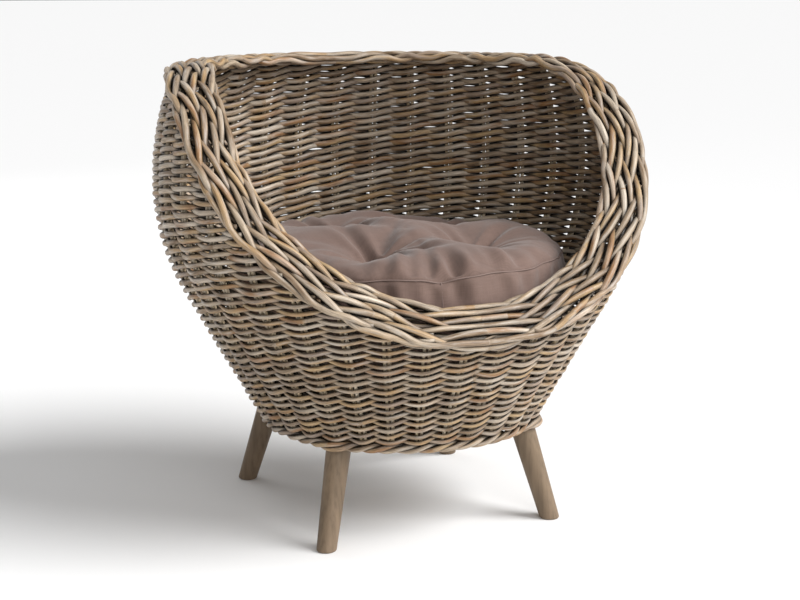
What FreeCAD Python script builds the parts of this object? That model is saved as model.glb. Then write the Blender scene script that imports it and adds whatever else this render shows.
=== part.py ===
"""Wicker pet bed basket on four splayed wooden legs, with a loose round cushion.

Frame: millimetres, +Z up, +X to the basket's left-right width, -Y is the open front.
The origin is on the floor, at the centre of the four feet.
"""
import FreeCAD, Part
import math
import os

Vector = FreeCAD.Vector

# ---- woven wall: a bowl of revolution, given by the middle of its thickness ----
axis_y = -19.3             # the bowl stands a little forward of the four feet
belly_radius = 273.0
belly_height = 390.0
flank_arc = 258.0          # meridian radius below the belly
shoulder_arc = 290.0       # meridian radius above the belly
flank_lean = math.radians(29.3)
wall_bottom = 120.5
wall_top = 520.0           # above every edge, the opening cuts it down
stake_diameter = 3.8
layer_gap = 0.25           # between a stake and the strands that cross it
strand_thickness = 4.5

# ---- opening: seen from the side, a slanted straight cut that levels off at the back ----
opening_slant = math.radians(52.2)
opening_point_y = -131.0   # a point on the slanted stretch, from the bowl's axis
opening_point_z = 370.0
opening_blend = 210.0
rim_height = 514.0         # middle of the plaited rim along the level back

# ---- plaited rim ----
rim_width = 56.0
rim_thickness = 17.0
rim_gap = 0.8              # between the plait and the wall's cut edge
stake_shortfall = 1.0      # how far the stakes stop below that edge
rim_inset_mean = 12.0      # how far the plait's middle lies inside the wall's middle
rim_inset_swing = 8.0
rim_front_tilt = math.radians(-35.0)
rim_tilt_low = 250.0
rim_tilt_high = 446.0
rim_sections = 24          # from the front's middle to the back's
halvings = 50              # steps that find a rim point

# ---- bottom of the basket ----
border_radius = 157.0
border_thickness = 13.0
border_height = 113.5
base_thickness = 8.0
stake_pairs = 34
stake_pair_spacing = 5.2

# ---- seat board and legs ----
board_radius = 187.0
board_top = 198.0
board_thickness = 12.0
foot_x = 138.0
foot_y = 140.0
splay_slope = 0.33
leg_top_height = 165.0
leg_foot_radius = 11.0
leg_top_radius = 15.5
foot_rounding = 2.0
block_radius = 26.0
hole_clearance = 0.05
bolt_radius = 4.0
bolt_in_leg = 26.0
bolt_in_block = 14.5
insert_radius = 6.0
insert_length = 15.0
screw_radius = 2.0
screw_head_radius = 4.0
screw_head_depth = 2.2
screw_length = 30.0
screw_offset = 15.0
nail_radius = 1.0
nail_length = 26.0
nail_head_radius = 2.2
nail_head_thickness = 0.8
nail_sink = 1.2            # nail head's outer face inside the wall's middle
leg_clearance = 1.0        # the weave stands this far off each leg

# ---- cushion ----
cushion_radius = 190.0
cushion_seam_height = 303.0
cushion_crown_height = 333.0
cloth = 1.5
tuft_radius = 98.0         # from the cushion's middle
tuft_count = 4
tie_radius = 1.0

# ---- construction ----
overshoot = 1.0            # how far a cutting shape runs past the face that it cuts
clear_span = 400.0         # half the side of shapes that have to reach past everything
seam_gap = 0.3             # between curved faces that would otherwise touch

UP = Vector(0, 0, 1)
AXIS = Vector(0, axis_y, 0)
half_gap = stake_diameter / 2 + layer_gap
outer_face = half_gap + strand_thickness


def save(name, shape):
    """Write one node, after a check that it is sound."""
    if not shape.isValid():
        raise ValueError(name + " is not a valid shape")
    shape.exportStep(os.path.join("parts", name + ".step"))
    print("%-24s %3d solid(s) %12.1f mm3" % (name, len(shape.Solids), shape.Volume))


def group(shapes):
    return Part.makeCompound(shapes)


# ---------------------------------------------------------------- the bowl's meridian

def wall_radius(height):
    """Radius of the middle of the wall at a height."""
    tangent_height = belly_height - flank_arc * math.sin(flank_lean)
    if height > belly_height:
        rise = height - belly_height
        return belly_radius - shoulder_arc + math.sqrt(shoulder_arc ** 2 - rise ** 2)
    if height > tangent_height:
        drop = belly_height - height
        return belly_radius - flank_arc + math.sqrt(flank_arc ** 2 - drop ** 2)
    tangent_radius = belly_radius - flank_arc + flank_arc * math.cos(flank_lean)
    return tangent_radius - (tangent_height - height) * math.tan(flank_lean)


def meridian(offset, low, high, side=0.0):
    """Edges of the wall's meridian, moved outwards by offset, from height low to high."""
    low_arc = flank_arc + offset
    high_arc = shoulder_arc + offset
    low_centre = belly_radius - flank_arc
    high_centre = belly_radius - shoulder_arc

    def on_arc(centre, radius, angle):
        height = belly_height + radius * math.sin(angle)
        return Vector(centre + radius * math.cos(angle), axis_y + side, height)

    start = Vector(wall_radius(low) + offset / math.cos(flank_lean), axis_y + side, low)
    tangent = on_arc(low_centre, low_arc, -flank_lean)
    lower_mid = on_arc(low_centre, low_arc, -flank_lean / 2)
    belly = on_arc(low_centre, low_arc, 0)
    top_angle = math.asin((high - belly_height) / high_arc)
    upper_mid = on_arc(high_centre, high_arc, top_angle / 2)
    top = on_arc(high_centre, high_arc, top_angle)
    return [
        Part.makeLine(start, tangent),
        Part.Arc(tangent, lower_mid, belly).toShape(),
        Part.Arc(belly, upper_mid, top).toShape(),
    ]


def revolve(edges):
    """Solid of revolution about the bowl's axis from a closed outline of edges."""
    face = Part.Face(Part.Wire(Part.__sortEdges__(edges)))
    return face.revolve(AXIS, UP, 360)


def bowl_layer(inner, outer):
    """One layer of the woven wall, between two offsets from its middle."""
    inside = meridian(inner, wall_bottom, wall_top)
    outside = meridian(outer, wall_bottom, wall_top)
    bottom = Part.makeLine(inside[0].Vertexes[0].Point, outside[0].Vertexes[0].Point)
    top = Part.makeLine(inside[-1].Vertexes[-1].Point, outside[-1].Vertexes[-1].Point)
    return revolve(inside + outside + [bottom, top])


# ---------------------------------------------------------------- the opening

def slant_geometry(drop):
    """Side view of the opening's edge, drop millimetres below the middle of the rim.

    Returns the blend's radius, its start (y, z) on the slant and its end (y, z)
    where the edge goes level, all from the bowl's axis.
    """
    radius = opening_blend - drop
    shift_y = drop * math.sin(opening_slant)
    start_z = rim_height - opening_blend * (1 - math.cos(opening_slant))
    start_y = opening_point_y + (start_z - opening_point_z) / math.tan(opening_slant)
    end_y = start_y + opening_blend * math.sin(opening_slant)
    start = (start_y + shift_y, start_z - drop * math.cos(opening_slant))
    return radius, start, (end_y, rim_height - drop)


def edge_height(side_y):
    """Height of the rim's middle where the side view has this y, from the bowl's axis."""
    radius, start, end = slant_geometry(0)
    if side_y < start[0]:
        return start[1] + (side_y - start[0]) * math.tan(opening_slant)
    if side_y < end[0]:
        return end[1] - radius + math.sqrt(radius ** 2 - (side_y - end[0]) ** 2)
    return end[1]


def opening_cutter(drop):
    """Everything above the opening's edge, as one solid right across the basket."""
    reach = clear_span
    ceiling = rim_height + clear_span
    radius, start, end = slant_geometry(drop)
    centre = (end[0], end[1] - radius)
    mid_angle = math.pi / 2 + opening_slant / 2

    def at(y, z):
        return Vector(-reach, y + axis_y, z)

    low_y = -reach
    low_z = start[1] + (low_y - start[0]) * math.tan(opening_slant)
    first = at(low_y, low_z)
    second = at(*start)
    middle = at(centre[0] + radius * math.cos(mid_angle), centre[1] + radius * math.sin(mid_angle))
    third = at(*end)
    fourth = at(reach, end[1])
    fifth = at(reach, ceiling)
    sixth = at(low_y, ceiling)
    outline = Part.Wire([
        Part.makeLine(first, second),
        Part.Arc(second, middle, third).toShape(),
        Part.makeLine(third, fourth),
        Part.makeLine(fourth, fifth),
        Part.makeLine(fifth, sixth),
        Part.makeLine(sixth, first),
    ])
    return Part.Face(outline).extrude(Vector(2 * reach, 0, 0))


# ---------------------------------------------------------------- the plaited rim

def rim_point(turn):
    """Radius and height of the rim's middle, turn radians round from the front."""
    inset = rim_inset_mean + rim_inset_swing * math.cos(turn)
    low = board_top
    high = rim_height
    for _ in range(halvings):
        height = (low + high) / 2
        if edge_height(-(wall_radius(height) - inset) * math.cos(turn)) > height:
            low = height
        else:
            high = height
    return wall_radius(high) - inset, high


def rim_frame(turn):
    """Middle of the rim, and the unit vectors across its width and its thickness."""
    def place(angle):
        radius, height = rim_point(angle)
        return Vector(radius * math.sin(angle), axis_y - radius * math.cos(angle), height)

    step = 0.01
    along = (place(turn + step) - place(turn - step)).normalize()
    middle = place(turn)
    share = (rim_tilt_high - middle.z) / (rim_tilt_high - rim_tilt_low)
    tilt = rim_front_tilt * min(max(share, 0.0), 1.0)
    out = Vector(math.sin(turn) * math.cos(tilt), -math.cos(turn) * math.cos(tilt), math.sin(tilt))
    width = (out - along * out.dot(along)).normalize()
    return middle, width, width.cross(along)


def rim_section(turn):
    """Closed ellipse across the plait, in two halves that meet at its outer and inner edge."""
    middle, width, thick = rim_frame(turn)
    major = middle + width * (rim_width / 2)
    minor = middle + thick * (rim_thickness / 2)
    ellipse = Part.Ellipse(major, minor, middle)
    upper = Part.Arc(ellipse, 0, math.pi).toShape()
    lower = Part.Arc(ellipse, math.pi, 2 * math.pi).toShape()
    return Part.Wire([upper, lower])


def make_rim_braid():
    """The plait as one smooth roll: the +X half, and its mirror image."""
    sections = []
    for index in range(rim_sections + 1):
        sections.append(rim_section(math.pi * index / rim_sections))
    right = Part.makeLoft(sections, True, False, False)
    left = right.mirror(Vector(0, 0, 0), Vector(1, 0, 0))
    return right.fuse(left)


# ---------------------------------------------------------------- legs and their fixings

CORNERS = {
    "front_left": (-1, -1),
    "front_right": (1, -1),
    "rear_left": (-1, 1),
    "rear_right": (1, 1),
}


def leg_axis(corner):
    """Centre of the foot on the floor and the unit direction up the leg."""
    side, depth = corner
    foot = Vector(side * foot_x, depth * foot_y, 0)
    lean = splay_slope / math.sqrt(2)
    return foot, Vector(-side * lean, -depth * lean, 1).normalize()


def up_the_leg(corner, distance):
    foot, direction = leg_axis(corner)
    return foot + direction * distance


def leg_length(corner):
    """Distance from the foot's centre to the leg's top face, along the leg."""
    return leg_top_height / leg_axis(corner)[1].z


def leg_cone(corner, extra):
    """The leg's taper, thicker all round by extra, run on below the floor."""
    direction = leg_axis(corner)[1]
    length = leg_length(corner)
    run_on = leg_foot_radius + overshoot
    taper = (leg_top_radius - leg_foot_radius) / length
    low = leg_foot_radius - taper * run_on + extra
    return Part.makeCone(low, leg_top_radius + extra, length + run_on, up_the_leg(corner, -run_on), direction)


def below_floor():
    corner = Vector(-clear_span, -clear_span, -clear_span)
    return Part.makeBox(2 * clear_span, 2 * clear_span, clear_span, corner)


def rod(corner, radius, start, end):
    """Cylinder on a leg's axis, between two distances up it."""
    return Part.makeCylinder(radius, end - start, up_the_leg(corner, start), leg_axis(corner)[1])


def make_leg(corner):
    leg = leg_cone(corner, 0).cut(below_floor())
    floor_edges = [edge for edge in leg.Edges if edge.BoundBox.ZMax < 0.01]
    leg = leg.makeFillet(foot_rounding, floor_edges)
    length = leg_length(corner)
    low = length - bolt_in_leg - overshoot
    return leg.cut(rod(corner, bolt_radius + hole_clearance, low, length + overshoot))


def block_centre(corner):
    """Where the leg's axis meets the board's underside, seen from above."""
    foot, direction = leg_axis(corner)
    middle_height = (leg_top_height + board_top - board_thickness) / 2
    point = foot + direction * (middle_height / direction.z)
    return Vector(point.x, point.y, 0)


def screw_points(corner):
    """The two screws of a block, on the line square to the leg's lean."""
    centre = block_centre(corner)
    side, depth = corner
    across = Vector(side, -depth, 0).normalize()
    return [centre + across * screw_offset, centre - across * screw_offset]


def make_screw(point, extra):
    """Countersunk wood screw driven down through the board."""
    tip = Vector(point.x, point.y, board_top - screw_length)
    neck = Vector(point.x, point.y, board_top - screw_head_depth)
    shank = Part.makeCylinder(screw_radius + extra, screw_length - screw_head_depth, tip, UP)
    head = Part.makeCone(screw_radius + extra, screw_head_radius + extra, screw_head_depth, neck, UP)
    return shank.fuse(head).removeSplitter()


def make_block(corner):
    """Wedge-shaped block: flat on top, square to the leg below, bored for the insert."""
    centre = block_centre(corner)
    underside = board_top - board_thickness
    depth = 2 * block_radius
    column = Part.makeCylinder(block_radius, depth, Vector(centre.x, centre.y, underside - depth), UP)
    length = leg_length(corner)
    direction = leg_axis(corner)[1]
    below = Part.makeCylinder(2 * depth, depth, up_the_leg(corner, length - depth), direction)
    block = column.cut(below)
    block = block.cut(rod(corner, insert_radius + hole_clearance, length - overshoot, length + insert_length))
    for point in screw_points(corner):
        block = block.cut(make_screw(point, hole_clearance))
    return block


def make_insert(corner):
    """Threaded insert in the block, shown with plain walls."""
    length = leg_length(corner)
    sleeve = rod(corner, insert_radius, length, length + insert_length)
    bore = rod(corner, bolt_radius + hole_clearance, length - overshoot, length + insert_length + overshoot)
    return sleeve.cut(bore)


def make_bolt(corner):
    length = leg_length(corner)
    return rod(corner, bolt_radius, length - bolt_in_leg, length + bolt_in_block)


def make_board():
    base = Vector(0, axis_y, board_top - board_thickness)
    board = Part.makeCylinder(board_radius, board_thickness, base, UP)
    for corner in CORNERS.values():
        for point in screw_points(corner):
            board = board.cut(make_screw(point, hole_clearance))
    for turn in nail_turns():
        board = board.cut(make_nail(turn, hole_clearance))
    return board


# ---------------------------------------------------------------- wall parts

def stake_turns():
    """Angles of the stake pairs, from the front; the front's middle is between two pairs."""
    return [(index + 0.5) * 2 * math.pi / stake_pairs for index in range(stake_pairs)]


def nail_turns():
    """One nail in every second space between stake pairs."""
    return [index * 4 * math.pi / stake_pairs for index in range(stake_pairs // 2)]


def make_nail(turn, extra):
    """Round nail driven inwards through the wall's inner strands into the board's edge."""
    height = board_top - board_thickness / 2
    head_out = wall_radius(height) - nail_sink
    inward = Vector(-math.sin(turn), math.cos(turn), 0)
    start = Vector(0, axis_y, height) - inward * head_out
    head = Part.makeCylinder(nail_head_radius + extra, nail_head_thickness, start, inward)
    shank = Part.makeCylinder(nail_radius + extra, nail_length + extra, start, inward)
    return head.fuse(shank).removeSplitter()


def whole_stake(side):
    """One full-length stick beside the +X meridian, side millimetres off it."""
    path = Part.Wire(meridian(0, wall_bottom + seam_gap, rim_height, side))
    start = path.Edges[0].Vertexes[0].Point
    direction = path.Edges[0].tangentAt(path.Edges[0].FirstParameter)
    ring = Part.Wire(Part.makeCircle(stake_diameter / 2, start, direction))
    return path.makePipeShell([ring], True, True)


def longest(shape):
    """The biggest solid that a cut has left."""
    return max(shape.Solids, key=lambda solid: solid.Volume)


def make_stakes(cutter, leg_room):
    """Pairs of upright sticks between the outer and the inner strands of the weave."""
    sticks = []
    for side in (-stake_pair_spacing / 2, stake_pair_spacing / 2):
        pattern = whole_stake(side)
        for turn in stake_turns():
            stick = pattern.copy()
            stick.rotate(AXIS, UP, math.degrees(turn) - 90)
            sticks.append(longest(stick.cut([cutter, leg_room])))
    return group(sticks)


def make_layer(inner, outer, cutter, leg_room):
    layer = bowl_layer(inner, outer).cut([cutter, leg_room])
    return longest(layer)


def make_foot_border(leg_room):
    ring = Part.makeTorus(border_radius, border_thickness / 2, Vector(0, axis_y, border_height), UP)
    return ring.cut(leg_room)


def make_woven_base(leg_room):
    radius = border_radius - border_thickness / 2 - seam_gap
    base = Vector(0, axis_y, border_height - base_thickness / 2)
    return Part.makeCylinder(radius, base_thickness, base, UP).cut(leg_room)


# ---------------------------------------------------------------- cushion

def crown_radius():
    rise = cushion_crown_height - cushion_seam_height
    return (cushion_radius ** 2 + rise ** 2) / (2 * rise)


def cap_solid(radius, drop):
    """Crowned solid from the board up, its dome drop below the cushion's top."""
    centre_z = cushion_crown_height - crown_radius()
    ball = Part.makeSphere(crown_radius() - drop, Vector(0, axis_y, centre_z))
    column = Part.makeCylinder(radius, cushion_crown_height, Vector(0, axis_y, board_top), UP)
    return ball.common(column)


def slab(radius, low, high):
    return Part.makeCylinder(radius, high - low, Vector(0, axis_y, low), UP)


def tuft_points():
    points = []
    for index in range(tuft_count):
        turn = 2 * math.pi * (index + 0.5) / tuft_count
        points.append(Vector(tuft_radius * math.sin(turn), axis_y - tuft_radius * math.cos(turn), 0))
    return points


def make_ties():
    """Threads that pull the tufts down, from the bottom cloth to the top cloth."""
    inside = cap_solid(cushion_radius, cloth)
    ties = []
    for point in tuft_points():
        foot = Vector(point.x, point.y, board_top + cloth)
        column = Part.makeCylinder(tie_radius, cushion_crown_height, foot, UP)
        ties.append(column.common(inside))
    return group(ties)


def make_filling(ties):
    dome = cap_solid(cushion_radius - cloth - seam_gap, cloth + seam_gap)
    dome = dome.cut(slab(cushion_radius, board_top - overshoot, board_top + cloth))
    return dome.cut(ties)


def make_top_panel():
    wide = cushion_radius + overshoot
    shell = cap_solid(cushion_radius, 0).cut(cap_solid(wide, cloth))
    return shell.cut(slab(wide, board_top - overshoot, cushion_seam_height - cloth))


def make_side_band():
    low = board_top + cloth
    high = cushion_seam_height - cloth
    inside = slab(cushion_radius - cloth, low - overshoot, high + overshoot)
    return slab(cushion_radius, low, high).cut(inside)


def make_bottom_panel():
    return slab(cushion_radius, board_top, board_top + cloth)


# ---------------------------------------------------------------- build

def main():
    os.makedirs("parts", exist_ok=True)
    edge_drop = rim_thickness / 2 + rim_gap
    cutter = opening_cutter(edge_drop)
    stake_cutter = opening_cutter(edge_drop + stake_shortfall)
    leg_room = group([leg_cone(corner, leg_clearance) for corner in CORNERS.values()])

    for name, corner in CORNERS.items():
        save("leg_" + name, make_leg(corner))
        save("leg_block_" + name, make_block(corner))
    save("hanger_bolts", group([make_bolt(corner) for corner in CORNERS.values()]))
    save("threaded_inserts", group([make_insert(corner) for corner in CORNERS.values()]))
    screws = []
    for corner in CORNERS.values():
        screws += [make_screw(point, 0) for point in screw_points(corner)]
    save("block_screws", group(screws))
    save("seat_board", make_board())

    nails = [make_nail(turn, 0) for turn in nail_turns()]
    nail_holes = group([make_nail(turn, seam_gap) for turn in nail_turns()])
    save("board_nails", group(nails))
    save("outer_weave", make_layer(half_gap, outer_face, cutter, leg_room))
    save("inner_weave", make_layer(-outer_face, -half_gap, cutter, leg_room).cut(nail_holes))
    save("upright_stakes", make_stakes(stake_cutter, leg_room))
    save("foot_border", make_foot_border(leg_room))
    save("woven_base", make_woven_base(leg_room))
    save("rim_braid", make_rim_braid())

    ties = make_ties()
    save("cushion_top_panel", make_top_panel())
    save("cushion_side_band", make_side_band())
    save("cushion_bottom_panel", make_bottom_panel())
    save("cushion_filling", make_filling(ties))
    save("cushion_tuft_ties", ties)


main()
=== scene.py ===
"""Wicker pet bed basket: the looks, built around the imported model. Metres, +Z up."""
import math

import bpy
import numpy as np
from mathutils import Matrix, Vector


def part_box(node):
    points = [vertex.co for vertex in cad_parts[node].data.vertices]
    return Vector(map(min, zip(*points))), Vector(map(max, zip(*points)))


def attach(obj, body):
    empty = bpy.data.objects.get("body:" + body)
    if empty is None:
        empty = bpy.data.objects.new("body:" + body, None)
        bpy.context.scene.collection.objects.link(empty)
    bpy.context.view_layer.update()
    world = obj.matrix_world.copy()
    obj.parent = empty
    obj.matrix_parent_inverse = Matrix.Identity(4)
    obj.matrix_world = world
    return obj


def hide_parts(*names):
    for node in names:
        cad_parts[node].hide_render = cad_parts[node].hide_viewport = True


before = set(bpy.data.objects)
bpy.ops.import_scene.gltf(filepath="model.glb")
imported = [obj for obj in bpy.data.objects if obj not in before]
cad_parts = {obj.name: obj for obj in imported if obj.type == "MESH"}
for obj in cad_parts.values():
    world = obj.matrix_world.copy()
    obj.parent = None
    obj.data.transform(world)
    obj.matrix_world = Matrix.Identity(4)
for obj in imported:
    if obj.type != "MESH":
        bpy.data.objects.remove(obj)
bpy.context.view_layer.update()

# ---- the woven wall's meridian, as in the design ----
axis_y = -0.0193
belly_radius = 0.273
belly_height = 0.390
flank_arc = 0.258
shoulder_arc = 0.290
flank_lean = math.radians(29.3)
wall_bottom = 0.1205
tangent_height = belly_height - flank_arc * math.sin(flank_lean)  # where the flank starts to bend
tangent_radius = belly_radius - flank_arc + flank_arc * math.cos(flank_lean)
straight = (tangent_height - wall_bottom) / math.cos(flank_lean)
stake_diameter = 0.0038
stake_pairs = 34
stake_pair_spacing = 0.0052
pair_turn = 2 * math.pi / stake_pairs

# ---- the opening and the plaited rim, as in the design ----
opening_slant = math.radians(52.2)
opening_point_y = -0.131
opening_point_z = 0.370
opening_blend = 0.210
rim_height = 0.514
rim_inset_mean = 0.012
rim_inset_swing = 0.008
rim_front_tilt = math.radians(-35.0)
rim_tilt_low = 0.250
rim_tilt_high = 0.446
rim_lowest = 0.198  # below all of the rim

# ---- legs, as in the design ----
foot_x = 0.138
foot_y = 0.140
splay_slope = 0.33
leg_top_height = 0.165
leg_foot_radius = 0.011
leg_top_radius = 0.0155

# ---- weaving strands ----
weft_radius = 0.00295
weft_flat = 0.77  # its thickness, as a share of its width
weft_sway = 0.0045  # strand's middle from the wall's middle, where it passes a pair
row_pitch = 0.0093
first_row = 0.0045  # up the meridian from the wall's bottom
weft_steps = 8  # rings per space between two pairs of stakes
weft_hang = 0.0005  # lower than the row's middle where it passes outside a pair
weft_dip = 0.0003  # lower at both kinds of passing than between them
weft_rise = 0.0026  # higher or lower than the row's middle half-way between two pairs
weft_rise_less = 0.0010  # less than that at the front, and more at the back
weft_thicker = 0.04  # all strands, as a share of weft_radius
weft_backward = 0.19  # thinner than that at the front, and thicker at the back
stake_wider = 1.14  # the stakes, as a share of the design's
stake_backward = 0.08  # thinner than that at the front, and thicker at the back
weave_bands = 4
rim_clearance = 0.001  # weave and stakes end this far under the plait's middle
rim_near = 0.035  # across the plait, where its own slope says what is under it
shortest_run = 5  # rings in the shortest strand kept
strand_gap = 0.0004  # kept between a strand and a leg
braid_strands = 12
braid_radius = 0.0036
braid_reach = 0.0244  # strand's middle from the plait's middle, at the turns
braid_swell = 0.0045  # strand's middle above and below the plait's middle
braid_curl = 0.006  # the outer edge turns down by this
braid_pitch = 0.60  # along the plait, from edge to edge and back
braid_start = 0.4  # of a strand's space, where the plait starts at the front
braid_bend = 0.95  # 1 would turn sharply at the edges, 0 would go in a wave
braid_merge = 0.045  # the two halves' plaits run level this far from where they meet
rope_strands = 3
rope_radius = 0.0030
rope_swing = 0.0034
rope_pitch = 0.062
base_spokes = 32
base_split = 0.070  # from here out there is a spoke between each two
base_first_ring = 0.014
base_ring_pitch = 0.0078
base_weft_radius = 0.0021

# ---- cushion ----
seam_radius = 0.187
seam_height = 0.303
crown_rise = 0.027
bottom_inset = 0.007  # the bottom is this much smaller all round than the seam
tuft_radius = 0.098
tuft_count = 4
tuft_skew = (-0.10, 0.0, -0.22, 0.08)
tuft_pit = 0.043
seam_draw = 0.0014  # the cover is drawn in by this along the seam
thread_radius = 0.0007
pull_turn = -0.16  # where the side band's ends meet and tug at the seam
cloth_slack = -0.035
swell_frames = 20
swell_limit = 0.014
tuft_limit = 0.22  # a point moves no further than this share of its way to a tuft
voxel = 0.005
# folds that run out from the tufts, listed one by one:
# tuft, way it runs (degrees from +X), length, depth, half width
folds = (
    (0, -60, 0.070, 0.0075, 0.0065),
    (0, -20, 0.085, 0.0070, 0.0065),
    (0, 28, 0.090, 0.0090, 0.0075),
    (0, 115, 0.075, 0.0060, 0.0075),
    (0, 190, 0.080, 0.0070, 0.0075),
    (1, -50, 0.075, 0.0070, 0.0065),
    (1, 10, 0.085, 0.0085, 0.0075),
    (1, 48, 0.080, 0.0080, 0.0065),
    (1, 150, 0.100, 0.0110, 0.0090),
    (1, 225, 0.065, 0.0055, 0.0075),
    (2, 20, 0.075, 0.0065, 0.0075),
    (2, 108, 0.095, 0.0120, 0.0090),
    (2, 165, 0.075, 0.0065, 0.0065),
    (2, 285, 0.095, 0.0120, 0.0100),
    (2, 340, 0.065, 0.0060, 0.0065),
    (3, -75, 0.080, 0.0080, 0.0065),
    (3, -38, 0.095, 0.0090, 0.0065),
    (3, 15, 0.095, 0.0085, 0.0080),
    (3, 95, 0.090, 0.0110, 0.0090),
    (3, 180, 0.070, 0.0060, 0.0065),
    (3, 230, 0.070, 0.0070, 0.0065),
)


# ---------------------------------------------------------------- numbers along the bowl

def smooth_noise(count, waves, seed, closed=False):
    """Smooth random values about -1 to 1 at count places, with about that many waves."""
    local = np.random.default_rng(seed)
    knots = max(4, int(waves * 2))
    values = local.normal(0, 0.6, knots)
    if closed:
        values = np.concatenate([values, values[:4]])
        where = np.linspace(0, knots, count, endpoint=False)
    else:
        values = np.concatenate([values, local.normal(0, 0.6, 4)])
        where = np.linspace(0, knots, count)
    base = np.floor(where).astype(int)
    part = where - base
    a, b, c, d = (values[np.minimum(base + k, len(values) - 1)] for k in range(4))
    return b + 0.5 * part * (c - a + part * (2 * a - 5 * b + 4 * c - d + part * (3 * (b - c) + d - a)))


def meridian(up):
    """The wall's middle, up metres along it: radius, height, its normal's level and upward parts."""
    up = np.asarray(up, float)
    low_arc = flank_arc * flank_lean
    bottom_radius = tangent_radius - (tangent_height - wall_bottom) * math.tan(flank_lean)
    on_line = up < straight
    on_low = (up >= straight) & (up < straight + low_arc)
    low_angle = -flank_lean + (up - straight) / flank_arc
    high_angle = (up - straight - low_arc) / shoulder_arc
    angle = np.where(on_line, -flank_lean, np.where(on_low, low_angle, high_angle))
    arc = np.where(on_low, flank_arc, shoulder_arc)
    radius = belly_radius - arc + arc * np.cos(angle)
    height = belly_height + arc * np.sin(angle)
    radius = np.where(on_line, bottom_radius + up * math.sin(flank_lean), radius)
    height = np.where(on_line, wall_bottom + up * math.cos(flank_lean), height)
    return radius, height, np.cos(angle), np.sin(angle)


def wall_length():
    """Length of the meridian from the wall's bottom to the level back rim."""
    top_angle = math.asin((rim_height - belly_height) / shoulder_arc)
    return straight + flank_arc * flank_lean + shoulder_arc * top_angle


def round_axis(turn, radius, height):
    """Points round the bowl's axis, turn radians round from the front."""
    return np.stack([radius * np.sin(turn), axis_y - radius * np.cos(turn), height], -1)


def on_wall(turn, up, out):
    """Points on the wall, out metres outwards of its middle, and the outward normals."""
    radius, height, level, rise = meridian(up)
    radius = radius + out * level
    points = round_axis(turn, radius, height + out * rise)
    normals = np.stack([np.sin(turn) * level, -np.cos(turn) * level, rise], -1)
    return points, normals


def wall_radius(height):
    """Radius of the wall's middle at this height."""
    if height > belly_height:
        return belly_radius - shoulder_arc + math.sqrt(shoulder_arc ** 2 - (height - belly_height) ** 2)
    if height > tangent_height:
        return belly_radius - flank_arc + math.sqrt(flank_arc ** 2 - (belly_height - height) ** 2)
    return tangent_radius - (tangent_height - height) * math.tan(flank_lean)


def edge_height(side_y):
    """Height of the rim's middle where the side view has this y, from the bowl's axis."""
    start_z = rim_height - opening_blend * (1 - math.cos(opening_slant))
    start_y = opening_point_y + (start_z - opening_point_z) / math.tan(opening_slant)
    end_y = start_y + opening_blend * math.sin(opening_slant)
    if side_y < start_y:
        return start_z + (side_y - start_y) * math.tan(opening_slant)
    if side_y < end_y:
        return rim_height - opening_blend + math.sqrt(opening_blend ** 2 - (side_y - end_y) ** 2)
    return rim_height


def rim_point(turn):
    """Radius and height of the rim's middle, turn radians round from the front."""
    inset = rim_inset_mean + rim_inset_swing * math.cos(turn)
    low = rim_lowest
    high = rim_height
    for _ in range(30):
        height = (low + high) / 2
        if edge_height(-(wall_radius(height) - inset) * math.cos(turn)) > height:
            low = height
        else:
            high = height
    return wall_radius(high) - inset, high


def even_turns(count):
    return np.linspace(0, 2 * math.pi, count, endpoint=False)


def unit(vectors):
    return vectors / np.maximum(np.linalg.norm(vectors, axis=-1, keepdims=True), 1e-12)


def rim_course(count):
    """The rim's middle line from the front by +X: points, and the ways across and through it."""
    turns = even_turns(count)
    places = np.array([rim_point(t) for t in turns])
    middle = round_axis(turns, places[:, 0], places[:, 1])
    along = unit(np.roll(middle, -1, 0) - np.roll(middle, 1, 0))
    share = np.clip((rim_tilt_high - middle[:, 2]) / (rim_tilt_high - rim_tilt_low), 0, 1)
    tilt = rim_front_tilt * share
    out = np.stack([np.sin(turns) * np.cos(tilt), -np.cos(turns) * np.cos(tilt), np.sin(tilt)], -1)
    width = unit(out - along * (out * along).sum(-1, keepdims=True))
    thick = np.cross(width, along)
    return middle, width, thick


RIM_MIDDLE, RIM_WIDTH, RIM_THICK = rim_course(1440)


def below_rim(points, margin):
    """Whether each point of the wall is under the plait, by at least margin."""
    side = np.empty(len(points))
    across = np.empty(len(points))
    for k in range(0, len(points), 400):
        block = points[k:k + 400]
        gap = np.linalg.norm(block[:, None, :] - RIM_MIDDLE[None, ::4, :], axis=-1)
        near = gap.argmin(1) * 4
        offset = block - RIM_MIDDLE[near]
        side[k:k + 400] = (offset * RIM_THICK[near]).sum(-1)
        across[k:k + 400] = (offset * RIM_WIDTH[near]).sum(-1)
    edge = np.array([edge_height(y) for y in points[:, 1] - axis_y])
    return np.where(np.abs(across) < rim_near, side < -margin, points[:, 2] < edge)


UP = np.array([0.0, 0.0, 1.0])
CORNERS = {"front_left": (-1, -1), "front_right": (1, -1), "rear_left": (-1, 1), "rear_right": (1, 1)}


def clear_of_legs(points, room):
    """Points pushed sideways off the four legs, by enough for a strand of that radius."""
    points = points.copy()
    for side, depth in CORNERS.values():
        foot = np.array([side * foot_x, depth * foot_y, 0])
        lean = splay_slope / math.sqrt(2)
        up = unit(np.array([-side * lean, -depth * lean, 1.0]))
        reach = (points - foot) @ up
        top = leg_top_height / up[2]
        axis_point = foot + reach[:, None] * up
        offset = points - axis_point
        gap = np.linalg.norm(offset, axis=-1)
        radius = leg_foot_radius + (leg_top_radius - leg_foot_radius) * np.clip(reach / top, 0, 1)
        wanted = radius + room
        moved = (gap ** 4 + wanted ** 4) ** 0.25
        factor = np.where(reach < top, moved / np.maximum(gap, 1e-6), 1.0)
        points = axis_point + offset * factor[:, None]
    return points


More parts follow.
